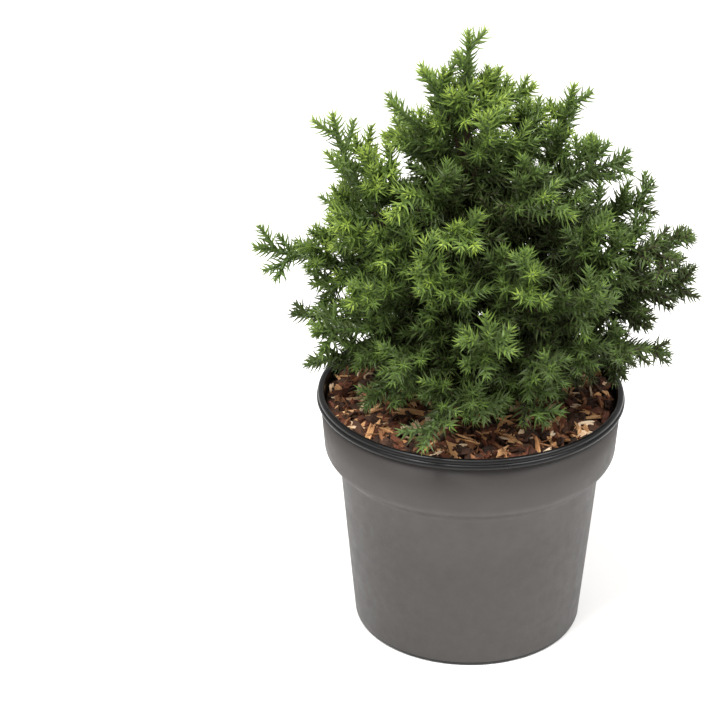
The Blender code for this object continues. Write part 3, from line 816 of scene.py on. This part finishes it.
def grow_side_shoots(owner, stem, foliage, room, rng):
    """The side shoots that find room, each tried at a few turns and a little shorter each time."""
    begin = stem.length - foliage
    count = max(2, round((LAST_SHOOT - FIRST_SHOOT) * foliage / SHOOT_SPACING))
    longest = min(SHOOT_LENGTH, foliage * SHOOT_SHARE)
    spin = rng.uniform(0, math.tau)
    grown = []
    for k in range(count):
        share = FIRST_SHOOT + (LAST_SHOOT - FIRST_SHOOT) * k / (count - 1)
        size = longest * (1 - SHOOT_SHORTEN * share)
        size *= rng.uniform(1 - SHOOT_VARIES, 1 + SHOOT_VARIES)
        for attempt in range(TRIES):
            turn_angle = spin + k * GOLDEN_ANGLE + attempt * TRY_TURN
            path = side_shoot_path(
                stem, begin + foliage * share, turn_angle, size * TRY_SHORTEN**attempt
            )
            balls = path.balls(SEGMENT, path.length, BALL_SPACING)
            if room.is_free([owner], balls, SPRAY_RADIUS):
                room.take(owner, balls, SPRAY_RADIUS)
                grown.append(path)
                break
    return grown


room = Room()
foliage_lengths = []
for owner, (limb, stem) in enumerate(zip(limbs, stems)):
    bare = stem.length * BOUGH_SHARE + GAP if limb.has_bough else 0
    foliage_lengths.append(stem.length - bare)
    room.take(owner, stem.balls(0, stem.length, BALL_SPACING), STEM_ROOM)
for owner, (stem, foliage) in enumerate(zip(stems, foliage_lengths)):
    segments = max(1, round(foliage / SEGMENT))
    spacing = foliage / segments
    for i in range(1, segments):
        begin = stem.length - foliage + spacing * i
        balls = stem.balls(begin, begin + spacing, BALL_SPACING)
        if room.is_free([owner], balls, SPRAY_RADIUS):
            room.take(owner, balls, SPRAY_RADIUS)

limb_shoots = [Shoot(stem, BARE_ROOT, LIMB_STEM_RADIUS) for stem in stems]
side_shoots = []
for owner, (stem, foliage) in enumerate(zip(stems, foliage_lengths)):
    rng = random.Random(SEED + owner)
    for path in grow_side_shoots(owner, stem, foliage, room, rng):
        side_shoots.append(Shoot(path, SIDE_BARE_ROOT, SIDE_STEM_RADIUS))

# The crown's rough reach at each height from its middle, which is a little to the right of the
# trunk low down. The ends of the limbs pass it, and only short twigs grow on beyond it.
CROWN_HEIGHTS = (150, 165, 185, 215, 250, 290, 330, 350, 365, 385)
CROWN_REACHES = (28, 54, 92, 115, 115, 91, 57, 31, 16, 9)
CROWN_MIDDLES = (13, 13, 13, 13, 14, 12, 4, -3, -3, -3)


def crown_share(points):
    """How far out these points are, as shares of the crown's reach at their heights."""
    reach = np.interp(points[..., 2] / MM, CROWN_HEIGHTS, CROWN_REACHES) * MM
    middle = np.interp(points[..., 2] / MM, CROWN_HEIGHTS, CROWN_MIDDLES) * MM
    return np.hypot(points[..., 0] - middle, points[..., 1]) / reach


# The finer twigs keep this much room round their axes, clear of every shoot but the one they
# grow on, and stay inside the reach of the limbs. The trunk carries some too, between the limbs.
TWIG_ROOM = 3.2 * MM
TWIG_SPACING = 4.2 * MM
TWIG_SHARE = 0.9
TWIG_LONGEST = 42 * MM
TWIG_SHORTEST = 11 * MM
SHORT_TWIG = 15 * MM
PAST_REACH = 1.15
TWIG_ANGLE = math.radians(42)
TWIG_HANGS = (-0.4, 0.4)
TWIG_LIFTS = (0.0, 1.2)
LIFTING_HEIGHTS = (185 * MM, 230 * MM)
TWIG_SHORTEN = 0.5
TWIG_TRIES = 8
TWIG_CLEAR = 7 * MM
TWIG_GENERATIONS = 3
TWIG_VARIES = (0.8, 1.2)
TWIGLESS_ROOT = 4 * MM
TWIGLESS_TIP = 5 * MM
TWIG_BARE_ROOT = 1.2 * MM
TWIG_STEM_RADIUS = 0.8 * MM
REACH_MARGIN = 3 * MM
FILL_SPACING = 1.3 * MM
FILL_FOOT = 175 * MM
FILL_LENGTHS = (40 * MM, 100 * MM)
FILL_ANGLE = math.radians(66)
FILL_LIFTS = 0.55
FILL_FREE_TIP = 4 * MM
FILL_STEM_RADIUS = 1.1 * MM
low_corner, high_corner = (np.array(corner) for corner in solids_box)


def fits(path, parent, room):
    """Whether a twig's path stays inside the crown and clear of all but its parent."""
    balls = path.balls(TWIG_CLEAR, path.length, BALL_SPACING)
    farthest = PAST_REACH if path.length < SHORT_TWIG else 1
    inside = np.all((balls > low_corner + REACH_MARGIN) & (balls < high_corner - REACH_MARGIN))
    inside &= np.all(crown_share(balls) < farthest)
    return inside and room.is_free([parent], balls, TWIG_ROOM)


def grow_twigs(parent, shoot, room, rng, first_owner):
    """The finer twigs on a shoot that find room, shorter towards its tip."""
    first = shoot.begin + TWIGLESS_ROOT
    last = shoot.path.length - TWIGLESS_TIP
    size = min(TWIG_LONGEST, shoot.path.length * TWIG_SHARE)
    count = int((last - first) / TWIG_SPACING)
    spin = rng.uniform(0, math.tau)
    grown = []
    for k in range(count):
        share = (k + 0.5) / count
        length = size * (1 - TWIG_SHORTEN * share) * rng.uniform(*TWIG_VARIES)
        place = first + (last - first) * share
        height = shoot.path.at(np.array([place]))[0][0][2]
        least = np.interp(height, LIFTING_HEIGHTS, (TWIG_HANGS[0], TWIG_LIFTS[0]))
        most = np.interp(height, LIFTING_HEIGHTS, (TWIG_HANGS[1], TWIG_LIFTS[1]))
        lifts = rng.uniform(least, most)
        for attempt in range(TWIG_TRIES):
            turn_angle = spin + k * GOLDEN_ANGLE + attempt * TRY_TURN
            tried = length * TRY_SHORTEN**attempt
            if tried < TWIG_SHORTEST:
                break
            path = side_shoot_path(shoot.path, place, turn_angle, tried, TWIG_ANGLE, lifts)
            if fits(path, parent, room):
                balls = path.balls(0, path.length, BALL_SPACING)
                room.take(first_owner + len(grown), balls, TWIG_ROOM)
                grown.append(Shoot(path, TWIG_BARE_ROOT, TWIG_STEM_RADIUS))
                break
    return grown


def grow_fill(axis, room, rng, first_owner):
    """Shoots from the trunk between the limbs, wherever there is room for them."""
    grown = []
    places = np.arange(FILL_FOOT - TRUNK_FOOT, axis.length - FILL_FREE_TIP, FILL_SPACING)
    for k, place in enumerate(places):
        size = rng.uniform(*FILL_LENGTHS)
        for attempt in range(2 * TRIES):
            turn_angle = k * GOLDEN_ANGLE + attempt * TRY_TURN
            tried = size * TRY_SHORTEN**attempt
            path = side_shoot_path(axis, place, turn_angle, tried, FILL_ANGLE, FILL_LIFTS)
            if fits(path, TRUNK_OWNER, room):
                balls = path.balls(0, path.length, BALL_SPACING)
                room.take(first_owner + len(grown), balls, TWIG_ROOM)
                grown.append(Shoot(path, BARE_ROOT, FILL_STEM_RADIUS))
                break
    return grown


room = Room()
for owner, shoot in enumerate(limb_shoots + side_shoots):
    room.take(owner, shoot.path.balls(0, shoot.path.length, BALL_SPACING), TWIG_ROOM)
twig_rng = random.Random(SEED)
foot, top = trunk_point(TRUNK_FOOT), trunk_point(TRUNK_TOP)
trunk_middle = trunk_point((TRUNK_FOOT + TRUNK_TOP) / 2)
trunk_axis = Path(foot, trunk_middle * 2 - (foot + top) / 2, top)
shoots = limb_shoots + side_shoots
shoots += grow_fill(trunk_axis, room, twig_rng, len(shoots))
newest = list(enumerate(shoots))
for generation in range(TWIG_GENERATIONS):
    already = len(shoots)
    for parent, shoot in newest:
        shoots += grow_twigs(parent, shoot, room, twig_rng, len(shoots))
    newest = list(enumerate(shoots))[already:]


# Needles are painted lighter outside and at the top, and darker in the heart and in the skirt: this
# is painted light and shade, over the darker colour of the older needles inside. They are also
# darker on the right. Each band is where it begins and how far it takes, the first in shares of
# the reach and the others in millimetres.
OUTER_BAND = (0.35, 0.45)
HIGH_BAND = (170, 100)
TOP_BAND = (290, 50)
RIGHT_SIDE_BAND = (45, 60)
SKIRT_LIGHT = 0.3
RIGHT_SIDE_DULLS = 0.7


def along_band(value, band):
    """How far a value has come along a band, from 0 to 1."""
    return np.clip((value - band[0]) / band[1], 0, 1)


def light_on(point):
    """How much painted light falls on the needles here, from 0 in the heart to 1 outside."""
    out = along_band(crown_share(np.array(point)), OUTER_BAND)
    high = along_band(point[2] / MM, HIGH_BAND)
    top = along_band(point[2] / MM, TOP_BAND)
    right_side = along_band(point[0] / MM, RIGHT_SIDE_BAND)
    # Painted shade in the skirt and painted light at the top; the right is only made darker.
    skirt = SKIRT_LIGHT + (1 - SKIRT_LIGHT) * high
    return float(max(out, top) * skirt * (1 - RIGHT_SIDE_DULLS * right_side))


# Young stems are green, because the needles run down them, and older ones inside the crown turn
# brown. Both are slim tapering tubes, thickest at the root.
STEM_SWELL = 1.6
STEM_TIP_RADIUS = 0.8 * MM
STEM_SIDES = 5
STEM_LENGTHS = 6
GREEN_LIGHT = 0.3
LIMB_SIDES = 6
LIMB_LENGTHS = 22
LIMB_RADIUS = 2.0 * MM
LIMB_TIP_RADIUS = 0.9 * MM
LIMB_OVERLAP = 0.02
MOTTLE_SIZE = 2.5 * MM
MOTTLE_DEPTH = 0.3 * MM
stem_points, stem_faces = template_of(unit_tube(STEM_SIDES, STEM_LENGTHS))
limb_points, limb_faces = template_of(unit_tube(LIMB_SIDES, LIMB_LENGTHS))
green, brown, limb_tubes = [], [], []
for shoot in shoots[len(limb_shoots) :]:
    root_radius = STEM_SWELL * shoot.radius
    tube = shoot.path.wrap(stem_points, 0, shoot.path.length, root_radius, STEM_TIP_RADIUS)
    (green if light_on(shoot.path.tip) > GREEN_LIGHT else brown).append(tube)
for stem in stems:
    begin = stem.length * (WOOD_SHARE - LIMB_OVERLAP)
    limb_tubes.append(stem.wrap(limb_points, begin, stem.length, LIMB_RADIUS, LIMB_TIP_RADIUS))

# Green stems are half glossy and brown ones are dull, and both are faintly mottled.
green_stem, green_place = new_material("green_stem", "#435726", 0.5, 1.45)
brown_stem, brown_place = new_material("brown_stem", "#2c2812", 0.7, 1.45)
for material, place in [(green_stem, green_place), (brown_stem, brown_place)]:
    mottle = add_noise(material, place, MOTTLE_SIZE, Detail=3)
    add_relief(material, mottle, 0.5, MOTTLE_DEPTH)

masses = ["foliage_" + limb.name for limb in limbs]
for name, tubes, faces, material in [
    ("limb_stems", limb_tubes, limb_faces, green_stem),
    ("green_stems", green, stem_faces, green_stem),
    ("brown_stems", brown, stem_faces, brown_stem),
]:
    piece = new_piece(name, joined_mesh(name, np.array(tubes), faces), material)
    piece.data.shade_smooth()
    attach(piece, "root")
    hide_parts(*masses)


# The needles are awls of three sides, set round the shoot in a close spiral and curved forward.
# They spread as the shoot ages, and at its tip they are short, closed and bright. Each is thickest
# at its foot, where its radius is given, and a little over half as thick near its middle.
NEEDLE_OUT = 7.0 * MM
NEEDLE_ALONG = 5.6 * MM
NEEDLE_RADIUS = 0.92 * MM
NEEDLE_MIDDLE = 0.45
MIDDLE_SHARE = 0.56
OUT_BOW = 0.16
ALONG_BOW = 0.26
CLOSED_OUT = 2.8 * MM
CLOSED_ALONG = 5.4 * MM
NEEDLE_SPACING = 0.82 * MM
TIP_SPACING = 0.48 * MM
SLIM_RADIUS = 1.0 * MM
OPENING_LENGTH = 8 * MM
SPRAY_LENGTH = 3.5 * MM
YOUNG_LENGTH = 7 * MM
PIECE_NEEDLES = 19000
SHADES = ["#37431f", "#435226", "#4e622b", "#5c722f", "#6c8135", "#859a3e"]
SHADE_NAMES = ["heart", "inner", "old", "leaf", "fresh", "tip"]

bm = bmesh.new()
bmesh.ops.create_cone(
    bm,
    cap_ends=True,
    segments=3,
    radius1=1,
    radius2=0,
    depth=1,
    matrix=Matrix.Translation((0, 0, 0.5)),
)
bmesh.ops.bisect_plane(
    bm,
    geom=bm.verts[:] + bm.edges[:] + bm.faces[:],
    plane_co=(0, 0, NEEDLE_MIDDLE),
    plane_no=(0, 0, 1),
)
bmesh.ops.remove_doubles(bm, verts=bm.verts, dist=1e-4)
for vertex in bm.verts:
    if 0.1 < vertex.co.z < 0.9:
        vertex.co.xy *= MIDDLE_SHARE / (1 - NEEDLE_MIDDLE)
bmesh.ops.triangulate(bm, faces=bm.faces)
cone_points, needle_faces = template_of(bm)


def curved_needle(out, along):
    """A needle that leaves its shoot steeply and curves forward, as (across, out, along)."""
    share = cone_points[:, 2]
    centre_out = out * ((1 + OUT_BOW) * share - OUT_BOW * share**2)
    centre_along = along * ((1 - ALONG_BOW) * share + ALONG_BOW * share**2)
    slope = math.atan2(along, out)
    across = cone_points[:, 0] * NEEDLE_RADIUS
    thick = cone_points[:, 1] * NEEDLE_RADIUS
    return np.column_stack(
        (across, centre_out - thick * math.sin(slope), centre_along + thick * math.cos(slope))
    )


spread_needle = curved_needle(NEEDLE_OUT, NEEDLE_ALONG)
closed_needle = curved_needle(CLOSED_OUT, CLOSED_ALONG)


def needle_places(shoot):
    """Distances along a shoot, closer together at its tip and on a thicker stem."""
    places = []
    place = shoot.begin
    closer = min(1, SLIM_RADIUS / shoot.radius)
    while place < shoot.path.length:
        places.append(place)
        age = min(1, (shoot.path.length - place) / OPENING_LENGTH)
        place += (TIP_SPACING + (NEEDLE_SPACING - TIP_SPACING) * age) * closer
    return np.array(places)


# The trunk's upper part carries needles too, as the young stem that it lately was. Needles are
# smaller at a shoot's tip, each stands a little out of its place, and each spray has a shade.
NEEDLED_TRUNK = 205 * MM
TURN_SPREAD = 0.12
NEEDLE_VARIES = (0.85, 1.12)
OPENING_POWER = 0.7
TIP_SIZE = 0.62
GROWN_LENGTH = 7 * MM
SET_IN = 0.5
DARKEST_SHADE = 0.04
LIGHT_SHADE = 0.43
LIGHT_POWER = 1.5
YOUNG_SHADE = 0.68
YOUNG_VARIES = (0.4, 0.95)
SHADE_SPREAD = 0.05
trunk_spray = Shoot(trunk_axis, NEEDLED_TRUNK - TRUNK_FOOT, 2 * trunk_radius(NEEDLED_TRUNK))
needle_rng = np.random.default_rng(SEED)
needles = [[] for _ in SHADES]
for shoot in [*shoots, trunk_spray]:
    path = shoot.path
    places = needle_places(shoot)
    centres, headings = path.at(places)
    count = len(places)
    turns = needle_rng.uniform(0, math.tau) + GOLDEN_ANGLE * np.arange(count)
    turns += needle_rng.normal(0, TURN_SPREAD, count)
    across = np.cross(headings, path.side)
    out = np.cos(turns)[:, None] * path.side + np.sin(turns)[:, None] * across
    sideways = np.cross(headings, out)
    from_tip = path.length - places
    age = along_band(from_tip, (0, OPENING_LENGTH)) ** OPENING_POWER
    age = (age * needle_rng.uniform(*NEEDLE_VARIES, count))[:, None, None]
    shape = closed_needle * (1 - age) + spread_needle * age
    grown = TIP_SIZE + (1 - TIP_SIZE) * along_band(from_tip, (0, GROWN_LENGTH))
    shape = shape * (needle_rng.uniform(*NEEDLE_VARIES, count) * grown)[:, None, None]
    corners = centres[:, None] + out[:, None] * (shoot.radius * SET_IN)
    corners = corners + shape[..., :1] * sideways[:, None] + shape[..., 1:2] * out[:, None]
    corners = corners + shape[..., 2:] * headings[:, None]
    # Each spray's shade is painted light and shade from light_on over the needles' own colour: young tips
    # are paler, and are painted brighter still where the growth is lit.
    lit = light_on(path.tip)
    lit_root = light_on(path.root)
    glow = math.sqrt(lit) * needle_rng.uniform(*YOUNG_VARIES)
    here = lit_root + (lit - lit_root) * places / path.length
    spray = np.floor(from_tip / SPRAY_LENGTH)
    shade = DARKEST_SHADE + LIGHT_SHADE * here**LIGHT_POWER
    shade = shade + YOUNG_SHADE * glow * np.exp(-spray * SPRAY_LENGTH / YOUNG_LENGTH)
    shade += needle_rng.normal(0, SHADE_SPREAD, int(spray.max()) + 1)[spray.astype(int)]
    number = np.clip((shade * len(SHADES)).astype(int), 0, len(SHADES) - 1)
    for i in range(len(SHADES)):
        needles[i].append(corners[number == i])

# Living needles: a waxy cuticle over green flesh, half glossy, each shade a plain base colour.
BLOOM_SIZE = 3.846 * MM
for name, code, parts in zip(SHADE_NAMES, SHADES, needles):
    waxy, place = new_material("waxy_needle_" + name, code, 0.5, 1.33)
    bloom = add_noise(waxy, place, BLOOM_SIZE, Detail=2)
    drive(waxy, "Roughness", rescaled(waxy, bloom, (0.3, 0.7), (0.42, 0.62)))
    corners = np.concatenate(parts)
    for number, start in enumerate(range(0, len(corners), PIECE_NEEDLES)):
        piece_name = f"needles_{name}_{number + 1}"
        some = corners[start : start + PIECE_NEEDLES]
        piece = new_piece(piece_name, joined_mesh(piece_name, some, needle_faces), waxy)
        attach(piece, "root")
        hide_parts(*masses)


# The studio is a pale painted table top under a bright even white sky, with one large softbox
# from the upper left in front and a weaker one from the right.
FLOOR_HALF = 6
SKY_STRENGTH = 0.65
LIT_POINT = Vector((0, 0, 0.2))
bm = bmesh.new()
bmesh.ops.create_grid(bm, x_segments=1, y_segments=1, size=FLOOR_HALF)
floor_mesh = bpy.data.meshes.new("floor")
bm.to_mesh(floor_mesh)
bm.free()
table_top, _ = new_material("painted_table", "#f4f3f1", 0.7)
floor = new_piece("floor", floor_mesh, table_top)

world = bpy.data.worlds.new("white_sky")
world.use_nodes = True
sky = world.node_tree.nodes["Background"]
sky.inputs["Color"].default_value = linear("#ffffff")
sky.inputs["Strength"].default_value = SKY_STRENGTH
bpy.context.scene.world = world
bpy.context.scene.view_settings.view_transform = "Standard"

for name, place, side, watts in [
    ("left_softbox", (-0.7, -0.8, 2.3), 1.1, 80),
    ("right_softbox", (1.1, -0.4, 2.0), 0.8, 40),
]:
    lamp_data = bpy.data.lights.new(name, "AREA")
    lamp_data.shape = "SQUARE"
    lamp_data.size = side
    lamp_data.energy = watts
    lamp = bpy.data.objects.new(name, lamp_data)
    bpy.context.scene.collection.objects.link(lamp)
    lamp.location = place
    lamp.rotation_euler = (Vector(place) - LIT_POINT).to_track_quat("Z", "Y").to_euler()
